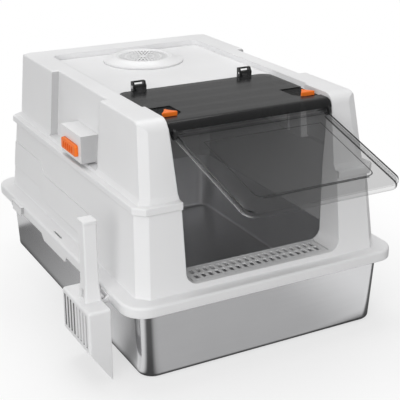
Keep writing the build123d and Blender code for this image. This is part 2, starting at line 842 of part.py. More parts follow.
# Lid: a plate that rolls over the front edge, with hinge knuckles, flap cheeks and latch pockets
front_slope = hood_lean_front / hood_rise
apron_low_z = flap_axis_z + flap_barrel_radius + 2 * running_gap
apron_low_y = lid_front_y - (lid_top - apron_low_z) * front_slope
cheek_inner = flap_width / 2 + cheek_gap
knuckle_length = clip_width - 2 * (clip_ear + running_gap)
latch_centre_x = lid_half - latch_inset
latch_stem_y = latch_centre_y - latch_depth / 2 + latch_stem_depth
latch_seat_z = lid_top - latch_pocket_depth + running_gap
with BuildPart() as lid:
    with BuildSketch(Plane.YZ) as lid_profile:
        with BuildLine():
            Polyline(
                (lid_rear_y, lid_top),
                (lid_front_y, lid_top),
                (apron_low_y, apron_low_z),
                (apron_low_y + lid_wall, apron_low_z),
                (lid_front_y + lid_wall, lid_bottom),
                (lid_rear_y, lid_bottom),
                close=True,
            )
        make_face()
        roll_corner = lid_profile.vertices().sort_by_distance((lid_front_y, lid_top))[0]
        fillet(roll_corner, lid_roll_radius)
        inner_corner = lid_profile.vertices().sort_by_distance((lid_front_y + lid_wall, lid_bottom))[0]
        fillet(inner_corner, lid_roll_radius - lid_wall)
    extrude(amount=lid_half, both=True)
    fillet(lid.edges().filter_by(Axis.Z).group_by(Axis.Y)[-1], lid_corner_radius)
    with BuildSketch(Plane.XY.offset(lid_bottom)):
        with Locations((0, (lid_rear_y + latch_centre_y) / 2)):
            with GridLocations(0, lid_rib_pitch, 1, lid_rib_count):
                Rectangle(2 * (opening_half - lid_lap), lid_rib_width)
    extrude(amount=-lid_rib_height)
    for side in (-1, 1):
        with BuildSketch(Plane.YZ.offset(side * cheek_inner)):
            with Locations((flap_axis_y, flap_axis_z)):
                Circle(cheek_radius)
            with Locations((lid_front_y + lid_roll_radius, lid_bottom - cheek_top_radius + lid_wall / 2)):
                Circle(cheek_top_radius)
            make_hull()
            with Locations((flap_axis_y, flap_axis_z)):
                Circle(flap_trunnion_radius + pin_gap, mode=Mode.SUBTRACT)
        extrude(amount=side * cheek_thickness)
        with BuildSketch(Plane.YZ.offset(side * clip_spacing / 2)):
            with Locations((lid_axis_y, lid_axis_z)):
                Circle(knuckle_radius)
            with Locations((lid_rear_y - lid_wall, lid_bottom + lid_wall / 2)):
                Circle(lid_wall / 2)
            make_hull()
            with Locations((lid_axis_y, lid_axis_z)):
                Circle(hinge_pin_radius + pin_gap, mode=Mode.SUBTRACT)
        extrude(amount=knuckle_length / 2, both=True)
        with BuildSketch(Plane.XY.offset(lid_top)):
            pocket_inner = lid_half - latch_pocket_length
            pocket_rear_y = latch_centre_y + latch_pocket_back
            pocket_front_y = latch_centre_y - latch_pocket_front
            with BuildLine():
                Polyline(
                    (side * (pocket_inner + latch_pocket_cut), pocket_front_y),
                    (side * (lid_half + cut_overrun), pocket_front_y),
                    (side * (lid_half + cut_overrun), pocket_rear_y),
                    (side * pocket_inner, pocket_rear_y),
                    (side * pocket_inner, pocket_front_y + latch_pocket_cut),
                    close=True,
                )
            make_face()
        extrude(amount=-latch_pocket_depth, mode=Mode.SUBTRACT)
        with BuildSketch(Plane.XY.offset(lid_top)):
            slot_start = latch_centre_x - latch_stem_length / 2 - running_gap
            slot_length = latch_stem_length + latch_travel + 2 * running_gap
            with Locations((side * (slot_start + slot_length / 2), latch_stem_y)):
                Rectangle(slot_length, latch_stem_depth + 2 * running_gap)
        extrude(amount=-lid_wall, mode=Mode.SUBTRACT)
finish_part(lid.part, "lid")


def lid_latch(side):
    """Make one thumb latch: a peaked top with hollow flanks, a stem through the lid and a tongue below."""
    tongue_top = panel_bottom - running_gap
    tongue_end = opening_half - latch_tongue_clear
    tongue_start = latch_centre_x - latch_stem_length / 2
    with BuildPart() as latch:
        with BuildSketch(Plane.XY.offset(latch_seat_z)) as latch_top:
            with BuildLine():
                left = (side * latch_centre_x - latch_length / 2, latch_centre_y - latch_depth / 2)
                right = (side * latch_centre_x + latch_length / 2, latch_centre_y - latch_depth / 2)
                tip = (side * latch_centre_x, latch_centre_y + latch_depth / 2)
                RadiusArc(left, tip, -latch_flank_radius)
                RadiusArc(tip, right, -latch_flank_radius)
                Line(right, left)
            make_face()
            fillet(latch_top.vertices(), latch_corner_radius)
        extrude(amount=latch_height)
        fillet(latch.faces().sort_by(Axis.Z)[-1].edges(), latch_crown_radius)
        with BuildSketch(Plane.XY.offset(latch_seat_z)):
            with Locations((side * latch_centre_x, latch_stem_y)):
                Rectangle(latch_stem_length, latch_stem_depth)
        extrude(amount=tongue_top - latch_seat_z)
        with BuildSketch(Plane.XY.offset(tongue_top)):
            with Locations((side * (tongue_start + tongue_end) / 2, latch_stem_y)):
                Rectangle(tongue_end - tongue_start, latch_tongue_depth)
        extrude(amount=-latch_tongue_height)
    finish_part(latch.part, f"lid_latch_{side_name(side)}")


def lid_hinge_clip(side):
    """Make one upright hinge clip: a foot, two ears and a bar across their tops."""
    ear_front = lid_rear_y + running_gap
    ear_back = lid_axis_y + clip_rear_run
    ear_top = lid_axis_z + clip_top_rise
    inner_width = clip_width - 2 * clip_ear
    with BuildPart() as clip:
        with BuildSketch(Plane.YZ.offset(side * clip_spacing / 2)):
            with BuildLine():
                Polyline(
                    (ear_front, panel_top),
                    (ear_front, lid_axis_z),
                    (lid_axis_y, ear_top),
                    (ear_back, ear_top),
                    (ear_back, panel_top),
                    close=True,
                )
            make_face()
            with Locations((lid_axis_y, lid_axis_z)):
                Circle(clip_ear_radius)
        extrude(amount=clip_width / 2, both=True)
        with BuildSketch(Plane.YZ.offset(side * clip_spacing / 2)):
            with Locations((ear_front - clip_ear_radius, panel_top + clip_foot_thickness)):
                Rectangle(
                    cut_overrun, ear_top - panel_top - clip_foot_thickness - clip_bar, align=Align.MIN
                )
            with Locations((ear_front - clip_ear_radius, lid_axis_z)):
                Rectangle(
                    ear_back - clip_bar - ear_front + clip_ear_radius, cut_overrun, align=Align.MIN
                )
        extrude(amount=inner_width / 2, both=True, mode=Mode.SUBTRACT)
        with BuildSketch(Plane.YZ.offset(side * clip_spacing / 2)):
            with Locations((lid_axis_y, lid_axis_z)):
                Circle(hinge_pin_radius + pin_gap)
        extrude(amount=clip_width, both=True, mode=Mode.SUBTRACT)
    finish_part(clip.part, f"lid_hinge_clip_{side_name(side)}")


def lid_hinge_pin(side):
    """Make one headed hinge pin through a clip's ears."""
    with BuildPart() as pin:
        with BuildSketch(Plane.YZ.offset(side * (clip_spacing - clip_width) / 2)):
            with Locations((lid_axis_y, lid_axis_z)):
                Circle(hinge_pin_radius)
        extrude(amount=side * clip_width)
        with BuildSketch(Plane.YZ.offset(side * (clip_spacing + clip_width) / 2)):
            with Locations((lid_axis_y, lid_axis_z)):
                Circle(hinge_pin_head_radius)
        extrude(amount=side * hinge_pin_head)
    finish_part(pin.part, f"lid_hinge_pin_{side_name(side)}")


for hand in (-1, 1):
    lid_latch(hand)
    lid_hinge_clip(hand)
    lid_hinge_pin(hand)

# Flap: a rimmed door on trunnions, drawn raised
droop = radians(flap_droop_deg)
flap_plane = Plane(
    origin=(0, flap_axis_y, flap_axis_z), x_dir=(1, 0, 0), z_dir=(0, -sin(droop), cos(droop))
)


def flap_outline(plane, inset, head):
    """Return the flap's tapered outline, smaller by an inset, from a head line down to its free edge."""
    with BuildSketch(plane) as outline:
        with BuildLine():
            Polyline(
                (-flap_width / 2 + inset, -head),
                (flap_width / 2 - inset, -head),
                (flap_width / 2 - flap_taper - inset, -flap_length + inset),
                (-flap_width / 2 + flap_taper + inset, -flap_length + inset),
                close=True,
            )
        make_face()
        corner = flap_corner_radius - min(inset, flap_corner_radius / 2)
        fillet(outline.vertices().group_by(Axis.Y)[0], corner)
    return outline.sketch


flap_face_plane = flap_plane.offset(flap_wall / 2)
with BuildPart() as flap:
    add(flap_outline(flap_face_plane, 0, 0))
    extrude(amount=-flap_wall)
    with BuildSketch(flap_plane):
        add(flap_outline(Plane.XY, 0, flap_barrel_radius / 2))
        add(flap_outline(Plane.XY, flap_rim_wall, 0), mode=Mode.SUBTRACT)
    extrude(amount=-flap_rim_depth)
    with BuildSketch(Plane.YZ.offset(-flap_width / 2 - running_gap)):
        with Locations((flap_axis_y, flap_axis_z)):
            Circle(flap_barrel_radius)
    extrude(amount=flap_width + 2 * running_gap)
    with BuildSketch(Plane.YZ.offset(-flap_width / 2 - flap_trunnion_length)):
        with Locations((flap_axis_y, flap_axis_z)):
            Circle(flap_trunnion_radius)
    extrude(amount=flap_width + 2 * flap_trunnion_length)
    with BuildSketch(flap_face_plane):
        add(flap_outline(Plane.XY, flap_panel_inset, flap_panel_inset))
        add(
            flap_outline(
                Plane.XY, flap_panel_inset + flap_panel_groove, flap_panel_inset + flap_panel_groove
            ),
            mode=Mode.SUBTRACT,
        )
    extrude(amount=-flap_panel_groove_depth, mode=Mode.SUBTRACT)
finish_part(flap.part, "flap")


def tray_clip(side, end):
    """Make one clip: a barrel on trunnions, a thumb tab, and a finger under the tray's lip."""
    clip_plane = Plane.XZ.offset(-end * clip_centre_y)
    tab_outer = clip_axis_x + clip_barrel_radius
    finger_top = tray_height - tray_lip_drop - running_gap
    finger_tip = lip_width / 2 - clip_finger_lap
    with BuildPart() as clip:
        with BuildSketch(clip_plane):
            with Locations((side * clip_axis_x, clip_axis_z)):
                Circle(clip_barrel_radius)
            with BuildLine():
                Polyline(
                    (side * tab_outer, clip_axis_z),
                    (side * tab_outer, clip_axis_z - clip_tab_drop),
                    (side * (tab_outer - clip_plate), clip_axis_z - clip_tab_drop),
                    (side * (tab_outer - clip_plate), finger_top - clip_finger_height),
                    (side * finger_tip, finger_top - clip_finger_height),
                    (side * finger_tip, finger_top),
                    (side * clip_axis_x, finger_top),
                    (side * clip_axis_x, clip_axis_z),
                    close=True,
                )
            make_face()
        extrude(amount=clip_notch_length / 2 - running_gap, both=True)
        with BuildSketch(clip_plane):
            with Locations((side * clip_axis_x, clip_axis_z)):
                Circle(clip_trunnion_radius)
        extrude(amount=clip_notch_length / 2 + clip_trunnion_length, both=True)
    end_name = "front" if end < 0 else "rear"
    finish_part(clip.part, f"tray_clip_{end_name}_{side_name(side)}")


for hand, far in clip_places:
    tray_clip(hand, far)

# Scoop hanger: a bracket on the left skirt with a bar across two arms
skirt_x = -rim_width / 2
hanger_bar_x = skirt_x - hanger_bar_reach
hanger_bar_z = skirt_bottom + hanger_bar_rise
with BuildPart() as scoop_hanger:
    with BuildSketch(Plane.YZ.offset(skirt_x)):
        with Locations((scoop_centre_y, skirt_bottom)):
            Rectangle(hanger_width, hanger_height, align=(Align.CENTER, Align.MIN))
    extrude(amount=-hanger_plate)
    with BuildSketch(Plane.XZ.offset(-scoop_centre_y)):
        with BuildLine():
            Polyline(
                (skirt_x, skirt_bottom),
                (hanger_bar_x, skirt_bottom),
                (hanger_bar_x, hanger_bar_z + hanger_bar_radius),
                (skirt_x, skirt_bottom + hanger_height),
                close=True,
            )
        make_face()
        with Locations((hanger_bar_x, hanger_bar_z)):
            Circle(hanger_bar_rise)
    extrude(amount=hanger_width / 2, both=True)
    with BuildSketch(Plane.XZ.offset(-scoop_centre_y)):
        with Locations((skirt_x - hanger_plate, skirt_bottom - hanger_plate)):
            Rectangle(cut_overrun, cut_overrun, align=(Align.MAX, Align.MIN))
    extrude(amount=hanger_width / 2 - hanger_arm, both=True, mode=Mode.SUBTRACT)
    with BuildSketch(Plane.XZ.offset(-scoop_centre_y)):
        with Locations((hanger_bar_x, hanger_bar_z)):
            Circle(hanger_bar_radius)
    extrude(amount=hanger_width / 2, both=True)
finish_part(scoop_hanger.part, "scoop_hanger")

# Scoop: a slotted basket with a long plate, an upright handle and a hook over the hanger's bar
plate_x = skirt_x - scoop_gap
basket_x = plate_x - scoop_depth
hook_low_z = hanger_bar_z + hanger_bar_radius + running_gap
hook_inner_x = hanger_bar_x + hanger_bar_radius + running_gap
handle_x = plate_x - handle_setback
with BuildPart() as scoop:
    with BuildSketch(Plane.XZ.offset(-scoop_centre_y)):
        with BuildLine():
            Polyline(
                (basket_x, scoop_top_z),
                (plate_x, scoop_top_z),
                (plate_x, scoop_top_z - scoop_plate_length),
                (basket_x, scoop_top_z - scoop_front_length),
                close=True,
            )
        make_face()
    extrude(amount=scoop_width / 2, both=True)
    fillet(scoop.edges().filter_by(Axis.Z).group_by(Axis.X)[0], scoop_edge_radius)
    top_edges = scoop.faces().sort_by(Axis.Z)[-1].edges()
    fillet(top_edges.sort_by(Axis.X)[:-1], scoop_edge_radius)
    mouth = scoop.faces().sort_by(Axis.Z)[0]
    offset(amount=-scoop_wall, openings=mouth)
    with BuildSketch(Plane.YZ.offset(basket_x)):
        with Locations((scoop_centre_y, scoop_top_z - scoop_front_length + scoop_slot_foot)):
            with GridLocations(scoop_slot_pitch, 0, scoop_slot_count, 1):
                Rectangle(scoop_slot_width, scoop_slot_length, align=(Align.CENTER, Align.MIN))
    extrude(amount=scoop_wall, mode=Mode.SUBTRACT)
    with BuildSketch(Plane.YZ.offset(plate_x)):
        with Locations((scoop_centre_y, scoop_top_z - scoop_plate_length + scoop_front_length / 2)):
            with GridLocations(scoop_slot_pitch, 0, scoop_slot_count, 1):
                Rectangle(scoop_slot_width, scoop_slot_length, align=(Align.CENTER, Align.MIN))
    extrude(amount=-scoop_wall, mode=Mode.SUBTRACT)
    handle_foot_z = scoop_top_z - scoop_wall / 2
    with BuildSketch(Plane.XY.offset(handle_foot_z)):
        with Locations((handle_x, handle_centre_y)):
            RectangleRounded(
                handle_width + handle_foot_spread, handle_depth + handle_foot_spread, handle_edge_radius
            )
    with BuildSketch(Plane.XY.offset(handle_foot_z + handle_foot_height)):
        with Locations((handle_x, handle_centre_y)):
            RectangleRounded(handle_width, handle_depth, handle_edge_radius)
    loft()
    with BuildSketch(Plane.XY.offset(handle_foot_z + handle_foot_height)):
        with Locations((handle_x, handle_centre_y)):
            RectangleRounded(handle_width, handle_depth, handle_edge_radius)
    extrude(amount=handle_length - handle_foot_height - handle_cap_height)
    with BuildSketch(Plane.XY.offset(handle_foot_z + handle_length - handle_cap_height)):
        with Locations((handle_x, handle_centre_y)):
            RectangleRounded(
                handle_width + handle_cap_spread, handle_depth + handle_cap_spread, handle_edge_radius
            )
    extrude(amount=handle_cap_height)
    with BuildSketch(Plane.YZ.offset(handle_x)):
        with Locations((handle_centre_y, scoop_top_z + handle_hole_rise)):
            Rectangle(handle_hole_width, handle_hole_height, align=(Align.CENTER, Align.MIN))
    extrude(amount=handle_width, both=True, mode=Mode.SUBTRACT)
    with BuildSketch(Plane.XZ.offset(-scoop_centre_y)):
        with BuildLine():
            Polyline(
                (plate_x - scoop_wall, hook_low_z),
                (hook_inner_x, hook_low_z),
                (hook_inner_x, hook_low_z - hook_leg_drop),
                (hook_inner_x + hook_thickness, hook_low_z - hook_leg_drop),
                (hook_inner_x + hook_thickness, hook_low_z + hook_thickness),
                (plate_x - scoop_wall, hook_low_z + hook_thickness),
                close=True,
            )
        make_face()
    extrude(amount=hook_width / 2, both=True)
finish_part(scoop.part, "scoop")
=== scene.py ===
from math import cos, pi, radians, sin

import bmesh
import bpy
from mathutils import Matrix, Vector


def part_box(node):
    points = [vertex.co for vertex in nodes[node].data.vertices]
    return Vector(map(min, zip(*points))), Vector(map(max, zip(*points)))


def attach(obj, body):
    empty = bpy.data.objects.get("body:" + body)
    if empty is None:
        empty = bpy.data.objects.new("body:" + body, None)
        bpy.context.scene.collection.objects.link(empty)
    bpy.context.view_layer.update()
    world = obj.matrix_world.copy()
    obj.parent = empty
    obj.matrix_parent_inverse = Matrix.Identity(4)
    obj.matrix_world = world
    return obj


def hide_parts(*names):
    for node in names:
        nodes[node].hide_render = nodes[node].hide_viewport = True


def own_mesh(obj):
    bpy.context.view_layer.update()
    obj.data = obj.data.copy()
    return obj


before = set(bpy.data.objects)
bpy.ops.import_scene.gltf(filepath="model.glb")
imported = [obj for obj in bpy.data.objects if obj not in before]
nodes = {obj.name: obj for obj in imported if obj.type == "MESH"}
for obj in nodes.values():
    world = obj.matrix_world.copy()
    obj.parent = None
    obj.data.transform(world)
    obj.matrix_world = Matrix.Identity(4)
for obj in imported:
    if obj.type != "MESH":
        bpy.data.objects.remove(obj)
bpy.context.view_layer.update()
scene = bpy.context.scene

# Places and sizes on the object, in metres. A pair gives the two ends of a span.
flap_droop = radians(15.0)
flap_axis = Vector((0.0, -0.2351, 0.342))
flap_length = Vector((0.0, -cos(flap_droop), -sin(flap_droop)))
flap_face = Vector((0.0, -sin(flap_droop), cos(flap_droop)))
flap_middle = (0.0, -0.33, 0.316)
flap_lip = (-0.0085, -0.0078)
flap_brow = (-0.0018, -0.0012)
flap_pressed_line = (0.0003, 0.0009)
flap_front_line = (0.1677, 0.1703)
flap_front_line_end = (0.082, 0.086)
flap_side_edge = (0.108, 0.118)
lid_top = 0.3593
lid_pocket = (-0.0021, -0.0015)
lid_band_pitch = 0.036
# The span of the hood's side recesses, whose front-facing faces get painted shade.
recess_span = (-0.08, 0.11)
recess_edge = (0.13, 0.14)
# Where painted shade goes on the inner faces of the hood, the enclosure and the scoop.
hood_hollow = {"middle": (0.0, 0.0, 0.15), "front": -0.2, "top": 0.355}
enclosure_hollow = {"middle": (0.0, 0.0, 0.05), "front": -0.2}
scoop_blade_middle = 0.06
rib_count = 5
rib_pitch = 0.008
tray_half_width = 0.2025
tray_half_length = 0.2825
tray_corner = (-0.175, -0.255)

# Depths of the finest surface marks, in metres.
moulded_depth = 0.00002
flap_depth = 0.00001
steel_depth = 0.000004
felt_depth = 0.0004

# Finishes: what more than one material has, and how much the clear flap covers.
white = (0.86, 0.86, 0.865)
# The paler edge tone is a painted highlight.
white_highlight = (0.95, 0.95, 0.955)
white_gloss = 0.36
orange_specular = 0.3
pure_white = (1.0, 1.0, 1.0, 1.0)
flap_cover = 0.25
flap_cut_cover = 0.12
flap_line_cover = 0.93

# The floor, in metres: its half side, and the spans in which its shadow and its tones change.
floor_reach = 14.0
shadow_back = (-0.1, 0.3)
shadow_out = (0.0, 0.38)
foot_out = (0.0, 0.011)
front_side = (-0.285, -0.275)
front_right = (0.09, 0.28)
left_side = (-0.205, -0.195)
left_out = (0.05, 0.08)
left_back = (-0.15, 0.32)

# Painted reflections, what the steel mirrors of it: a share of a turn round the tray's corner, and
# the tone there.
floor_tone = 0.85
floor_tones = (
    (0.02, 1.0), (0.06, 0.9), (0.112, 0.0), (0.182, 0.0), (0.238, 0.44), (0.29, 0.56),
    (0.472, 0.54), (0.479, 0.60), (0.484, 0.02), (0.54, 0.02), (0.56, 0.90), (0.60, 0.80),
    (0.72, 0.10), (0.755, 0.68), (0.785, 0.72), (0.802, 0.88), (0.812, 0.75), (0.82, 0.64),
    (0.83, 0.48), (0.843, 0.31), (0.865, 0.30), (0.89, 0.40), (0.915, 0.62), (0.95, 1.0),
)

camera_place = (-0.7046, -1.3809, 0.7455)
camera_turn = (radians(68.746), 0.0, radians(-28.307))
camera_lens = 88.14
camera_sensor = 36.0


def set_inputs(node, values):
    """Set a node's plain inputs by their names."""
    for key, value in values.items():
        name = key.replace("_", " ").title().replace("Ior", "IOR")
        node.inputs[name].default_value = value


def add(tree, kind, **values):
    """One shader node, with its plain inputs."""
    node = tree.nodes.new("ShaderNode" + kind)
    set_inputs(node, values)
    return node


def put_group(tree, group, **values):
    """A node group placed in a material, with its own values."""
    node = add(tree, "Group")
    node.node_tree = group
    set_inputs(node, values)
    return node


def feed(tree, socket, value):
    """Link an input to a socket, or set it to a plain value."""
    if isinstance(value, bpy.types.NodeSocket):
        tree.links.new(value, socket)
    else:
        socket.default_value = value


def combine(tree, operation, first, second=0.0):
    """A Math node fed by sockets or plain numbers."""
    node = add(tree, "Math")
    node.operation = operation
    feed(tree, node.inputs[0], first)
    feed(tree, node.inputs[1], second)
    return node.outputs[0]


def product(tree, first, *others):
    """Masks and numbers, multiplied."""
    for other in others:
        first = combine(tree, "MULTIPLY", first, other)
    return first


def vectors(tree, operation, first, second):
    """A Vector Math node fed by sockets or plain vectors."""
    node = add(tree, "VectorMath")
    node.operation = operation
    feed(tree, node.inputs[0], first)
    feed(tree, node.inputs[1], second)
    return node.outputs["Value" if operation == "DOT_PRODUCT" else "Vector"]


def split(tree, vector):
    """The X, Y and Z of a vector."""
    node = add(tree, "SeparateXYZ")
    tree.links.new(vector, node.inputs[0])
    return node.outputs


def spread(tree, value, low, high, to_low, to_high, smooth=True):
    """A Map Range node from one span of a value to another."""
    node = add(tree, "MapRange")
    node.interpolation_type = "SMOOTHSTEP" if smooth else "LINEAR"
    tree.links.new(value, node.inputs["Value"])
    spans = {"From Min": low, "From Max": high, "To Min": to_low, "To Max": to_high}
    for key, end in spans.items():
        feed(tree, node.inputs[key], end)
    return node.outputs["Result"]


def between(tree, value, low, high, soft):
    """A mask that is 1 inside a span of a value."""
    rise = spread(tree, value, low - soft, low + soft, 0.0, 1.0)
    fall = spread(tree, value, high - soft, high + soft, 1.0, 0.0)
    return product(tree, rise, fall)


def blend(tree, share, first, second):
    """A Mix node for numbers, fed by sockets or plain numbers."""
    node = add(tree, "Mix")
    feed(tree, node.inputs[0], share)
    feed(tree, node.inputs[2], first)
    feed(tree, node.inputs[3], second)
    return node.outputs[0]


def blend_colour(tree, share, first, second, mode="MIX"):
    """A Mix node for colours, fed by sockets or plain colours."""
    node = add(tree, "Mix")
    node.data_type = "RGBA"
    node.blend_type = mode
    feed(tree, node.inputs[0], share)
    for socket, value in ((node.inputs[6], first), (node.inputs[7], second)):
        feed(tree, socket, (*value, 1.0) if isinstance(value, tuple) else value)
    return node.outputs[2]


def noise(tree, place, scale, detail, roughness):
    """A Noise node over a place."""
    node = add(tree, "TexNoise", detail=detail, roughness=roughness)
    tree.links.new(place, node.inputs["Vector"])
    feed(tree, node.inputs["Scale"], scale)
    return node.outputs["Fac"]


def mapped(tree, place, **values):
    """A place moved, turned or stretched by a Mapping node."""
    node = add(tree, "Mapping", **values)
    tree.links.new(place, node.inputs["Vector"])
    return node.outputs["Vector"]


def shader_group(name, inputs, outputs):
    """An empty group of shader nodes with named sockets, and its two end nodes."""
    tree = bpy.data.node_groups.new(name, "ShaderNodeTree")
    for socket, value in inputs.items():
        kind = "NodeSocketVector" if hasattr(value, "__len__") else "NodeSocketFloat"
        made = tree.interface.new_socket(socket, in_out="INPUT", socket_type=kind)
        made.default_value = value
    for socket, kind in outputs.items():
        tree.interface.new_socket(socket, in_out="OUTPUT", socket_type="NodeSocket" + kind)
    return tree, tree.nodes.new("NodeGroupInput"), tree.nodes.new("NodeGroupOutput")


def make_moulded_skin():
    """The fine spark-eroded grain of a moulding, with slow changes of gloss and tone."""
    tree, start, end = shader_group(
        "moulded_skin",
        {"Grain": 900.0, "Gloss": 0.35, "Gloss Change": 0.06, "Tone Change": 0.03},
        {"Tone": "Float", "Roughness": "Float", "Height": "Float"},
    )
    place = add(tree, "TexCoord").outputs["Object"]
    grain = noise(tree, place, start.outputs["Grain"], 3.0, 0.6)
    cloud = noise(tree, place, 7.0, 2.0, 0.5)
    swing = spread(tree, cloud, 0.3, 0.7, -1.0, 1.0)
    gloss = product(tree, swing, start.outputs["Gloss Change"])
    gloss = combine(tree, "ADD", gloss, start.outputs["Gloss"])
    speck = product(tree, combine(tree, "SUBTRACT", grain, 0.5), 0.12)
    tone = product(tree, swing, start.outputs["Tone Change"])
    tree.links.new(combine(tree, "ADD", tone, 1.0), end.inputs["Tone"])
    tree.links.new(combine(tree, "ADD", gloss, speck), end.inputs["Roughness"])
    tree.links.new(grain, end.inputs["Height"])
    return tree


def make_edge_round_and_highlight():
    """Edges softened by a small radius, and a mask of them for a painted highlight on a moulding.
    """
    tree, start, end = shader_group(
        "edge_round_and_highlight", {"Radius": 0.001}, {"Share": "Float", "Normal": "Vector"}
    )
    soft = add(tree, "Bevel")
    soft.samples = 6
    tree.links.new(start.outputs["Radius"], soft.inputs["Radius"])
    face = add(tree, "NewGeometry").outputs["True Normal"]
    level = vectors(tree, "DOT_PRODUCT", soft.outputs["Normal"], face)
    tree.links.new(spread(tree, level, 0.78, 0.99, 1.0, 0.0), end.inputs["Share"])
    tree.links.new(soft.outputs["Normal"], end.inputs["Normal"])
    return tree


def make_hollow_faces():
    """A mask of the faces that look to a middle, behind a place along Y and under a height."""
    tree, start, end = shader_group(
        "hollow_faces",
        {"Middle": (0.0, 0.0, 0.0), "Front": -1.0, "Top": 1.0},
        {"Inside": "Float"},
    )
    coordinates = add(tree, "TexCoord")
    front, top = start.outputs["Front"], start.outputs["Top"]
    away = vectors(tree, "SUBTRACT", coordinates.outputs["Object"], start.outputs["Middle"])
    outward = vectors(tree, "DOT_PRODUCT", coordinates.outputs["Normal"], away)
    inward = spread(tree, outward, -0.004, 0.0, 1.0, 0.0)
    place = split(tree, coordinates.outputs["Object"])
    behind = spread(tree, place["Y"], front, combine(tree, "ADD", front, 0.004), 0.0, 1.0)
    under = spread(tree, place["Z"], combine(tree, "SUBTRACT", top, 0.001), top, 1.0, 0.0)
    tree.links.new(product(tree, inward, behind, under), end.inputs["Inside"])
    return tree


def make_steel_brushing():
    """Fine rolling lines of sheet steel, level on the walls and lengthwise on the floor."""
    tree, start, end = shader_group(
        "steel_brushing",
        {"Gloss": 0.26, "Gloss Change": 0.08},
        {"Tone": "Float", "Roughness": "Float", "Height": "Float"},
    )
    place = add(tree, "TexCoord").outputs["Object"]
    facing = split(tree, add(tree, "NewGeometry").outputs["Normal"])
    level = spread(tree, combine(tree, "ABSOLUTE", facing["Z"]), 0.4, 0.8, 0.0, 1.0)
    wall_lines = noise(tree, mapped(tree, place, scale=(6.0, 6.0, 1400.0)), 1.0, 3.0, 0.6)
    floor_lines = noise(tree, mapped(tree, place, scale=(1400.0, 6.0, 6.0)), 1.0, 3.0, 0.6)
    line = blend(tree, level, wall_lines, floor_lines)
    cloud = noise(tree, place, 9.0, 3.0, 0.55)
    swing = combine(tree, "SUBTRACT", combine(tree, "ADD", line, cloud), 1.0)
    gloss = product(tree, swing, start.outputs["Gloss Change"])
    tone = product(tree, swing, 0.10)
    tree.links.new(combine(tree, "ADD", gloss, start.outputs["Gloss"]), end.inputs["Roughness"])
    tree.links.new(combine(tree, "ADD", tone, 1.0), end.inputs["Tone"])
    tree.links.new(line, end.inputs["Height"])
    return tree


def make_sheet_marks():
    """Where a clear sheet lies flat, how high a point is over it and how far out to the side."""
    tree, start, end = shader_group(
        "sheet_marks",
        {"Face Direction": (0.0, 0.0, 1.0), "Origin": (0.0, 0.0, 0.0)},
        {"Flat": "Float", "Lift": "Float", "Side": "Float"},
    )
    coordinates = add(tree, "TexCoord")
    direction = start.outputs["Face Direction"]
    tilt = vectors(tree, "DOT_PRODUCT", coordinates.outputs["Normal"], direction)
    flat = spread(tree, combine(tree, "ABSOLUTE", tilt), 0.5, 0.9, 0.0, 1.0)
    away = vectors(tree, "SUBTRACT", coordinates.outputs["Object"], start.outputs["Origin"])
    place = split(tree, coordinates.outputs["Object"])
    tree.links.new(flat, end.inputs["Flat"])
    tree.links.new(vectors(tree, "DOT_PRODUCT", away, direction), end.inputs["Lift"])
    tree.links.new(combine(tree, "ABSOLUTE", place["X"]), end.inputs["Side"])
    return tree


moulded_skin = make_moulded_skin()
edge_round_and_highlight = make_edge_round_and_highlight()
hollow_faces = make_hollow_faces()
steel_brushing = make_steel_brushing()
sheet_marks = make_sheet_marks()


def start_material(name, **shader_values):
    """A material with its Principled shader, whose plain sockets are set here."""
    material = bpy.data.materials.new(name)
    material.use_nodes = True
    tree = material.node_tree
    shader = tree.nodes["Principled BSDF"]
    set_inputs(shader, shader_values)
    return material, tree, shader


def cover(tree, shader, shade, height, depth, roughness=None, normal=None):
    """Give a shader its colour, its roughness and a bump from a height."""
    bump = add(tree, "Bump", strength=1.0, distance=depth)
    tree.links.new(height, bump.inputs["Height"])
    tree.links.new(bump.outputs["Normal"], shader.inputs["Normal"])
    tree.links.new(shade, shader.inputs["Base Color"])
    if roughness is not None:
        tree.links.new(roughness, shader.inputs["Roughness"])
    if normal is not None:
        tree.links.new(normal, bump.inputs["Normal"])


def recess_front(tree):
    """A mask of the faces that look to the front from within the hood's side recesses, which get
    painted shade.
    """
    coordinates = add(tree, "TexCoord")
    place = split(tree, coordinates.outputs["Object"])
    facing = split(tree, coordinates.outputs["Normal"])
    looks_front = spread(tree, facing["Y"], -0.95, -0.6, 1.0, 0.0)
    along = between(tree, place["Y"], *recess_span, 0.002)
    outside = spread(tree, combine(tree, "ABSOLUTE", place["X"]), *recess_edge, 0.0, 1.0)
    return product(tree, looks_front, along, outside)


def moulding(
    name, colour, highlight_colour, gloss, edge, grain=900.0,
    hollow=None, painted_inside_tone=None, recess_shade_colour=None, **shader_values,
):
    """A moulded plastic, with a painted highlight along its edges and painted shade in a hollow or
    a recess.
    """
    material, tree, shader = start_material(name, **shader_values)
    skin = put_group(tree, moulded_skin, grain=grain, gloss=gloss, tone_change=0.015)
    edges = put_group(tree, edge_round_and_highlight, radius=edge)
    # Painted highlight: the edges are paler.
    shade = blend_colour(tree, edges.outputs["Share"], colour, highlight_colour)
    # Painted shade: inner faces are darker, and so are the faces that look to the front within the
    # hood's side recesses.
    if hollow:
        inside = put_group(tree, hollow_faces, **hollow).outputs["Inside"]
        shade = blend_colour(tree, inside, shade, painted_inside_tone)
    if recess_shade_colour:
        shade = blend_colour(tree, recess_front(tree), shade, recess_shade_colour)
    shade = blend_colour(tree, 1.0, shade, skin.outputs["Tone"], "MULTIPLY")
    height, roughness = skin.outputs["Height"], skin.outputs["Roughness"]
    cover(tree, shader, shade, height, moulded_depth, roughness, edges.outputs["Normal"])
    return material


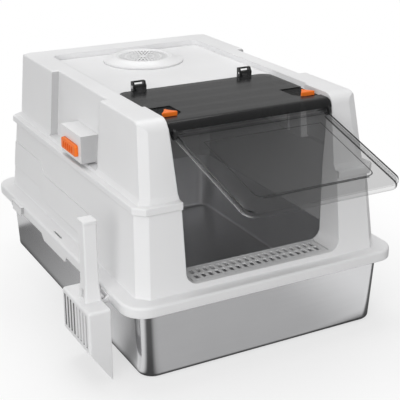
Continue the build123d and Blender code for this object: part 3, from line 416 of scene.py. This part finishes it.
def sheet_steel(name, colour, gloss, painted_inside_tone=None, inner_gloss=None):
    """Rolled sheet steel, polished where it faces outwards and satin on its inner sides, with
    painted light that makes its inner side walls paler.
    """
    material, tree, shader = start_material(name, metallic=1.0)
    skin = put_group(tree, steel_brushing, gloss=gloss)
    shade, roughness = colour, skin.outputs["Roughness"]
    # Painted light: the inner side walls are paler.
    if painted_inside_tone:
        coordinates = add(tree, "TexCoord")
        level = vectors(tree, "MULTIPLY", coordinates.outputs["Object"], (1.0, 1.0, 0.0))
        outward = vectors(tree, "DOT_PRODUCT", coordinates.outputs["Normal"], level)
        inside = spread(tree, outward, 0.01, 0.05, 1.0, 0.0)
        facing = split(tree, coordinates.outputs["Normal"])
        sideways = spread(tree, combine(tree, "ABSOLUTE", facing["X"]), 0.4, 0.9, 0.0, 1.0)
        shade = blend_colour(tree, product(tree, inside, sideways), colour, painted_inside_tone)
        satin = product(tree, inside, inner_gloss - gloss)
        roughness = combine(tree, "ADD", roughness, satin)
    shade = blend_colour(tree, 1.0, shade, skin.outputs["Tone"], "MULTIPLY")
    cover(tree, shader, shade, skin.outputs["Height"], steel_depth, roughness)
    return material


def smoked_flap_sheet():
    """The flap's grey clear plastic, dark where light runs along its rim and pressed line, with a
    painted highlight on its lip.
    """
    material, tree, shader = start_material("smoked_flap", coat_weight=0.3)
    skin = put_group(tree, moulded_skin, grain=60.0, gloss=0.08, gloss_change=0.03)
    marks = put_group(tree, sheet_marks, face_direction=flap_face, origin=flap_axis)
    flat, lift, side = (marks.outputs[key] for key in ("Flat", "Lift", "Side"))
    cut = combine(tree, "SUBTRACT", 1.0, flat)

    # The lip and the brow turn dark towards the sides, and the lip's cut edge is painted pale as a
    # highlight.
    lip = spread(tree, lift, *flap_lip, 1.0, 0.0)
    brow = product(tree, spread(tree, lift, *flap_brow, 0.0, 1.0), cut)
    near_side = spread(tree, side, *flap_side_edge, 0.25, 1.0)
    rim = product(tree, combine(tree, "MAXIMUM", lip, brow), near_side)
    inside = put_group(tree, hollow_faces, middle=flap_middle).outputs["Inside"]
    lip_highlight = combine(tree, "SUBTRACT", product(tree, lip, near_side, cut), inside)

    # The pressed line is dark all round and once more along the front.
    pressed = product(tree, between(tree, lift, *flap_pressed_line, 0.0001), flat)
    place = add(tree, "TexCoord").outputs["Object"]
    reach = vectors(tree, "DOT_PRODUCT", place, flap_length)
    reach = combine(tree, "SUBTRACT", reach, flap_axis.dot(flap_length))
    front = product(tree, between(tree, reach, *flap_front_line, 0.0003), flat)
    front = product(tree, front, spread(tree, side, *flap_front_line_end, 1.0, 0.0))
    line = combine(tree, "MAXIMUM", combine(tree, "MAXIMUM", rim, pressed), front)

    clear = blend(tree, cut, flap_cover, flap_cut_cover)
    alpha = combine(tree, "MAXIMUM", clear, product(tree, line, flap_line_cover))
    tree.links.new(alpha, shader.inputs["Alpha"])
    shade = blend_colour(tree, line, (0.020, 0.021, 0.022), (0.006, 0.006, 0.007))
    # Painted highlight on the lip's cut edge.
    shade = blend_colour(tree, lip_highlight, shade, (0.85, 0.85, 0.855))
    cover(tree, shader, shade, skin.outputs["Height"], flap_depth, skin.outputs["Roughness"])
    return material


def smoked_lid_plate():
    """The lid's deep smoked plastic, with paler bands across it that stand in for ribs seen
    through it and for painted reflections, and painted shade in its thin pockets.
    """
    material, tree, shader = start_material("smoked_lid", specular_ior_level=0.27, alpha=0.86)
    skin = put_group(tree, moulded_skin, grain=60.0, gloss=0.2, gloss_change=0.04)
    edges = put_group(tree, edge_round_and_highlight, radius=0.0006)
    top = (0.0, 0.0, lid_top)
    marks = put_group(tree, sheet_marks, face_direction=(0.0, 0.0, 1.0), origin=top)
    # Painted shade: the pockets are darker than the rest of the lid.
    pocket = between(tree, marks.outputs["Lift"], *lid_pocket, 0.0001)
    pocket = product(tree, pocket, marks.outputs["Flat"])
    place = split(tree, add(tree, "TexCoord").outputs["Object"])
    # Paler bands across the lid: ribs seen through it, and painted reflections.
    wave = combine(tree, "SINE", product(tree, place["Y"], 2 * pi / lid_band_pitch))
    band = spread(tree, wave, 0.2, 1.0, 0.0, 1.0)
    shade = blend_colour(tree, band, (0.012, 0.0122, 0.0127), (0.026, 0.0263, 0.027))
    shade = blend_colour(tree, pocket, shade, (0.002, 0.002, 0.0025))
    roughness = combine(tree, "ADD", skin.outputs["Roughness"], product(tree, pocket, 0.5))
    height, normal = skin.outputs["Height"], edges.outputs["Normal"]
    cover(tree, shader, shade, height, moulded_depth, roughness, normal)
    return material


def carbon_felt():
    """Carbon felt: short fibres that cross one another."""
    material, tree, shader = start_material("carbon_pad", roughness=0.95)
    place = add(tree, "TexCoord").outputs["Object"]
    heights = []
    for degrees in (0.0, 60.0, 120.0):
        turn = (0.0, 0.0, radians(degrees))
        laid = mapped(tree, place, rotation=turn, scale=(900.0, 120.0, 900.0))
        heights.append(noise(tree, laid, 1.0, 2.0, 0.6))
    fibres = combine(tree, "MAXIMUM", combine(tree, "MAXIMUM", *heights[:2]), heights[2])
    share = spread(tree, fibres, 0.45, 0.75, 0.0, 1.0)
    shade = blend_colour(tree, share, (0.012, 0.012, 0.013), (0.06, 0.06, 0.062))
    cover(tree, shader, shade, fibres, felt_depth)
    return material


white_plastic = moulding("white_plastic", white, white_highlight, white_gloss, edge=0.002)
# The hood and the enclosure get painted shade on their inner faces, and the hood also in its side
# recesses.
hood_white = moulding(
    "hood_white", white, white_highlight, white_gloss, edge=0.002,
    hollow=hood_hollow, painted_inside_tone=(0.48, 0.48, 0.485), recess_shade_colour=(0.56, 0.56, 0.565),
)
enclosure_white = moulding(
    "enclosure_white", white, white_highlight, white_gloss, edge=0.002,
    hollow=enclosure_hollow, painted_inside_tone=(0.49, 0.49, 0.495),
)
step_grey = moulding(
    "step_grey", (0.80, 0.80, 0.805), (0.88, 0.88, 0.885), 0.5, edge=0.0006, grain=700.0
)
orange_plastic = moulding(
    "orange_plastic", (1.0, 0.21, 0.022), (1.0, 0.27, 0.06), 0.42, edge=0.0008,
    specular_ior_level=orange_specular,
)
# The ribs are a darker copy of the orange: painted shade that lets their relief show.
shaded_rib_orange = moulding(
    "shaded_rib_orange", (0.80, 0.125, 0.012), (0.90, 0.16, 0.02), 0.5, edge=0.0005,
    specular_ior_level=orange_specular,
)
scoop_low, scoop_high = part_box("scoop")
scoop_middle = (
    (scoop_low[0] + scoop_high[0]) / 2,
    (scoop_low[1] + scoop_high[1]) / 2,
    scoop_low[2] + scoop_blade_middle,
)
# Painted shade: the scoop's inner faces, seen through its slots, are dark.
scoop_white = moulding(
    "scoop_white", white, white_highlight, white_gloss, edge=0.0015,
    hollow={"middle": scoop_middle}, painted_inside_tone=(0.22, 0.22, 0.225),
)
# Painted light: the tray's inner side walls are paler than its outside.
tray_steel = sheet_steel("tray_steel", (0.66, 0.66, 0.67), 0.17, (0.94, 0.94, 0.95), 0.42)
pin_steel = sheet_steel("pin_steel", (0.58, 0.58, 0.59), 0.3)
smoked_lid = smoked_lid_plate()
smoked_flap = smoked_flap_sheet()
carbon_pad = carbon_felt()

finishes = {
    "tray": tray_steel,
    "entry_step": step_grey,
    "hood": hood_white,
    "enclosure": enclosure_white,
    "carbon_filter": carbon_pad,
    "scoop": scoop_white,
    "lid": smoked_lid,
    "flap": smoked_flap,
}
for node_name, node in nodes.items():
    if "hinge_clip" in node_name:
        finish = smoked_lid
    elif "hinge_pin" in node_name or "spring" in node_name:
        finish = pin_steel
    elif "latch" in node_name or "hood_button" in node_name:
        finish = orange_plastic
    else:
        finish = finishes.get(node_name, white_plastic)
    node.data.materials.clear()
    node.data.materials.append(finish)


def grip_rib(length, width, height, sunk, rings=12, spokes=8):
    """A half-round rib along Z with rounded ends, standing up along X, its foot sunk a little."""
    shape = bmesh.new()
    for ring in range(rings + 1):
        level = length / 2 * -cos(pi * ring / rings)
        girth = sin(pi * ring / rings) ** 0.5
        for spoke in range(spokes + 1):
            angle = pi * spoke / spokes
            across = width / 2 * girth * cos(angle)
            shape.verts.new((height * girth * sin(angle), across, level))
            shape.verts.new((-sunk, across, level))
    bmesh.ops.remove_doubles(shape, verts=shape.verts, dist=1e-6)
    hull = bmesh.ops.convex_hull(shape, input=shape.verts)
    spare = list(set(hull["geom_interior"] + hull["geom_unused"]))
    bmesh.ops.delete(shape, geom=spare, context="VERTS")
    bmesh.ops.recalc_face_normals(shape, faces=shape.faces)
    mesh = bpy.data.meshes.new("grip_rib")
    shape.to_mesh(mesh)
    shape.free()
    return mesh


def make_rib_row():
    """A row of one rib, repeated along a line."""
    tree = bpy.data.node_groups.new("rib_row", "GeometryNodeTree")
    for socket, kind in (
        ("Rib", "Object"), ("Count", "Int"), ("Start", "Vector"), ("Step", "Vector"),
        ("Turn", "Vector"), ("Finish", "Material"),
    ):
        tree.interface.new_socket(socket, in_out="INPUT", socket_type="NodeSocket" + kind)
    tree.interface.new_socket("Ribs", in_out="OUTPUT", socket_type="NodeSocketGeometry")
    start, end = tree.nodes.new("NodeGroupInput"), tree.nodes.new("NodeGroupOutput")
    line = tree.nodes.new("GeometryNodeMeshLine")
    rib = tree.nodes.new("GeometryNodeObjectInfo")
    copies = tree.nodes.new("GeometryNodeInstanceOnPoints")
    whole = tree.nodes.new("GeometryNodeRealizeInstances")
    smooth = tree.nodes.new("GeometryNodeSetShadeSmooth")
    paint = tree.nodes.new("GeometryNodeSetMaterial")
    for source, target in (
        (start.outputs["Count"], line.inputs["Count"]),
        (start.outputs["Start"], line.inputs["Start Location"]),
        (start.outputs["Step"], line.inputs["Offset"]),
        (start.outputs["Rib"], rib.inputs["Object"]),
        (line.outputs["Mesh"], copies.inputs["Points"]),
        (rib.outputs["Geometry"], copies.inputs["Instance"]),
        (start.outputs["Turn"], copies.inputs["Rotation"]),
        (copies.outputs["Instances"], whole.inputs["Geometry"]),
        (whole.outputs["Geometry"], smooth.inputs["Geometry"]),
        (smooth.outputs["Geometry"], paint.inputs["Geometry"]),
        (start.outputs["Finish"], paint.inputs["Material"]),
        (paint.outputs["Geometry"], end.inputs["Ribs"]),
    ):
        tree.links.new(source, target)
    return tree


rib_row = make_rib_row()


def set_ribs(name, mesh, body, finish, slot, **values):
    """One row of grip ribs as a single mesh that moves with its body."""
    rib = bpy.data.objects.new("rib", mesh)
    holder = bpy.data.objects.new(name + "_line", bpy.data.meshes.new(name + "_line"))
    scene.collection.objects.link(rib)
    scene.collection.objects.link(holder)
    row = holder.modifiers.new("rib_row", "NODES")
    row.node_group = rib_row
    values.update(rib=rib, finish=finish)
    for socket in rib_row.interface.items_tree:
        if socket.in_out == "INPUT":
            row[socket.identifier] = values[socket.name.lower()]
    graph = bpy.context.evaluated_depsgraph_get()
    made = bpy.data.meshes.new_from_object(holder.evaluated_get(graph), depsgraph=graph)
    made.name = name
    bpy.data.objects.remove(holder)
    bpy.data.objects.remove(rib)
    ribs = bpy.data.objects.new(name, made)
    scene.collection.objects.link(ribs)
    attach(ribs, body)


button_rib = grip_rib(length=0.0105, width=0.0038, height=0.0014, sunk=0.0008)
for side, face_turn in (("left", pi), ("right", 0.0)):
    low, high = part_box("hood_button_" + side)
    face_x = low[0] if side == "left" else high[0]
    first_y = (low[1] + high[1]) / 2 - rib_pitch * (rib_count - 1) / 2
    set_ribs(
        "button_grip_" + side, button_rib, "button_" + side, shaded_rib_orange, "orange",
        count=rib_count, start=(face_x, first_y, (low[2] + high[2]) / 2),
        step=(0.0, rib_pitch, 0.0), turn=(0.0, 0.0, face_turn),
    )


def set_leaf_spring(side):
    """The bowed spring behind a button, which in the real latch flattens on its plate as the
    button goes in; here a still mesh of its own on the base.
    """
    solid = nodes["button_spring_" + side]
    shape = solid.data.copy()
    shape.transform(solid.matrix_world)
    spring = bpy.data.objects.new("leaf_spring_" + side, shape)
    scene.collection.objects.link(spring)
    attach(spring, "base")
    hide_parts("button_spring_" + side)
    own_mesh(spring)


for hand in ("left", "right"):
    set_leaf_spring(hand)


def steel_bands(tree, place, away):
    """The painted reflections that steel mirrors of the floor, fanned out from the tray's front
    left corner.
    """
    x, y, _ = split(tree, place)
    turn = add(tree, "TexGradient")
    turn.gradient_type = "RADIAL"
    fan = mapped(tree, place, location=(-tray_corner[0], -tray_corner[1], 0.0))
    tree.links.new(fan, turn.inputs["Vector"])
    tones = add(tree, "ValToRGB")
    steps = tones.color_ramp.elements
    steps[0].color = steps[1].color = (floor_tone, floor_tone, floor_tone, 1.0)
    for turned, tone in floor_tones:
        steps.new(turned).color = (tone, tone, tone, 1.0)
    tree.links.new(turn.outputs["Fac"], tones.inputs["Fac"])

    # A painted shadow under the tray, paler to the right in front of it, darker to the back along
    # its left.
    open_floor = spread(tree, away, *foot_out, 0.0, 1.0)
    in_front = spread(tree, y, *front_side, 1.0, 0.0)
    to_right = product(tree, in_front, spread(tree, x, *front_right, 0.0, 0.9))
    at_left = spread(tree, x, *left_side, 1.0, 0.0)
    close_by = spread(tree, away, *left_out, 1.0, 0.0)
    backward = spread(tree, y, *left_back, 0.0, 0.83, smooth=False)
    to_back = product(tree, at_left, close_by, backward)
    change = combine(tree, "SUBTRACT", combine(tree, "ADD", to_right, 1.0), to_back)
    tone = product(tree, tones.outputs["Color"], product(tree, open_floor, change))
    return combine(tree, "MINIMUM", tone, 1.0)


def set_floor():
    """A plain pale floor, white to the camera apart from the shadow, with painted reflections for
    the steel.
    """
    turns = ((-1, -1), (1, -1), (1, 1), (-1, 1))
    corners = [(x * floor_reach, y * floor_reach, 0) for x, y in turns]
    mesh = bpy.data.meshes.new("floor")
    mesh.from_pydata(corners, [], [(0, 1, 2, 3)])
    floor = bpy.data.objects.new("floor", mesh)
    scene.collection.objects.link(floor)
    material = bpy.data.materials.new("floor_paper")
    material.use_nodes = True
    tree = material.node_tree
    tree.nodes.remove(tree.nodes["Principled BSDF"])
    rays = add(tree, "LightPath").outputs
    place = add(tree, "TexCoord").outputs["Object"]
    x, y, _ = split(tree, place)
    across = combine(tree, "SUBTRACT", combine(tree, "ABSOLUTE", x), tray_half_width)
    along = combine(tree, "SUBTRACT", combine(tree, "ABSOLUTE", y), tray_half_length)
    away = combine(tree, "MAXIMUM", across, along)

    paper = add(tree, "BsdfDiffuse")
    bounced = spread(tree, rays["Is Diffuse Ray"], 0.0, 1.0, 0.9, 0.5)
    tree.links.new(bounced, paper.inputs["Color"])
    glow = add(tree, "Emission", color=pure_white)
    strength = blend(tree, rays["Is Glossy Ray"], 1.0, steel_bands(tree, place, away))
    tree.links.new(strength, glow.inputs["Strength"])

    seen = combine(tree, "MAXIMUM", rays["Is Camera Ray"], rays["Is Transmission Ray"])
    near_share = spread(tree, y, *shadow_back, 0.60, 0.88)
    far_share = spread(tree, away, *shadow_out, 0.60, 1.0)
    share = product(tree, seen, combine(tree, "MAXIMUM", near_share, far_share))
    mirrored = product(tree, rays["Is Glossy Ray"], 0.85)
    mixed = add(tree, "MixShader")
    tree.links.new(combine(tree, "MAXIMUM", share, mirrored), mixed.inputs[0])
    tree.links.new(paper.outputs[0], mixed.inputs[1])
    tree.links.new(glow.outputs[0], mixed.inputs[2])
    tree.links.new(mixed.outputs[0], tree.nodes["Material Output"].inputs["Surface"])
    mesh.materials.append(material)


def set_world():
    """Soft studio surroundings: brighter above and to the right, white where the camera looks."""
    world = bpy.data.worlds.new("studio")
    scene.world = world
    world.use_nodes = True
    tree = world.node_tree
    back = tree.nodes["Background"]
    back.inputs["Color"].default_value = pure_white
    facing = split(tree, add(tree, "TexCoord").outputs["Generated"])
    across = spread(tree, facing["X"], -0.9, 0.6, 0.46, 0.48)
    above = spread(tree, facing["Z"], 0.0, 0.9, 0.0, 0.12)
    rays = add(tree, "LightPath").outputs
    seen = combine(tree, "MAXIMUM", rays["Is Camera Ray"], rays["Is Transmission Ray"])
    strength = blend(tree, seen, combine(tree, "ADD", across, above), 1.0)
    tree.links.new(strength, back.inputs["Strength"])


def set_lamp(name, place, aim, size, power):
    """A soft rectangular lamp that looks at a point."""
    lamp = bpy.data.lights.new(name, "AREA")
    lamp.shape = "RECTANGLE"
    lamp.size, lamp.size_y = size
    lamp.energy = power
    holder = bpy.data.objects.new(name, lamp)
    holder.location = place
    holder.rotation_euler = (Vector(aim) - Vector(place)).to_track_quat("-Z", "Y").to_euler()
    scene.collection.objects.link(holder)


def set_camera():
    """The camera at the photograph's viewing angle."""
    camera = bpy.data.cameras.new("camera")
    camera.lens = camera_lens
    camera.sensor_width = camera_sensor
    holder = bpy.data.objects.new("camera", camera)
    holder.location = camera_place
    holder.rotation_euler = camera_turn
    scene.collection.objects.link(holder)
    scene.camera = holder


set_floor()
set_world()
set_lamp("key_lamp", (-1.5, -1.6, 0.8), aim=(0.0, 0.0, 0.15), size=(1.6, 0.9), power=18.0)
set_lamp("top_lamp", (0.15, 0.45, 2.1), aim=(0.0, 0.0, 0.2), size=(1.4, 1.2), power=14.0)
set_lamp("inside_lamp", (0.0, 0.03, 0.21), aim=(0.0, 0.03, 0.0), size=(0.16, 0.30), power=0.07)
set_camera()
scene.view_settings.view_transform = "Standard"
